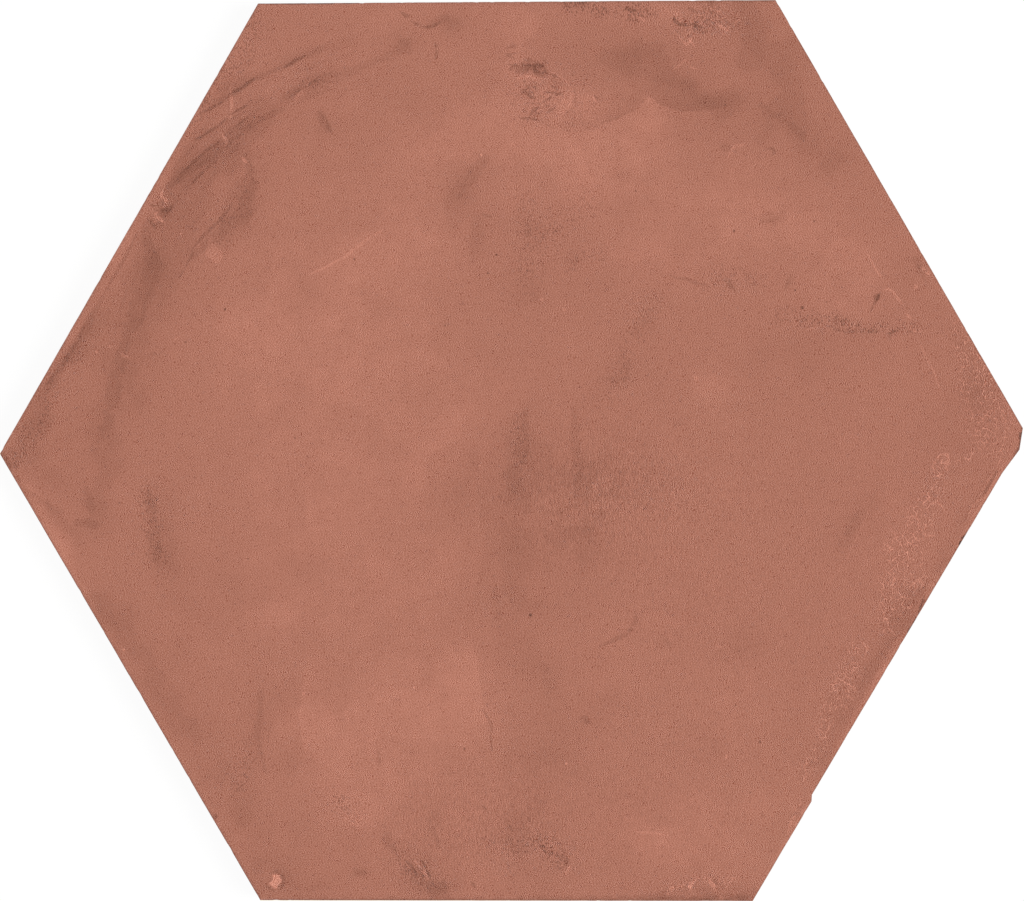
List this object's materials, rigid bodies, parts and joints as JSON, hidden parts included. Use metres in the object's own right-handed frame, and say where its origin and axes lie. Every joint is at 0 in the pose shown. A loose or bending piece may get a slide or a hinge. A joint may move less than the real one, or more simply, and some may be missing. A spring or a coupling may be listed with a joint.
{
  "type": "hexagon floor tile",
  "caption": "Flat hexagonal floor tile in matt terracotta-coloured ceramic, with a finely pitted, cloudy wearing face, eased edges and one knocked corner.",
  "frame": {"origin": "centre of the tile's bounding box in plan, on the plane the back rests on", "axes": "+Z out of the wearing face; +X towards the knocked corner, along the longest extent; +Y towards the top side"},
  "size_m": [0.2458, 0.2166, 0.009],
  "materials": {
    "fired_clay": "matt, unglazed look, fine-grained with soft darker and lighter clouds"
  },
  "bodies": {
    "root": {"hexagon_tile": "fired_clay"}
  },
  "joints": []
}
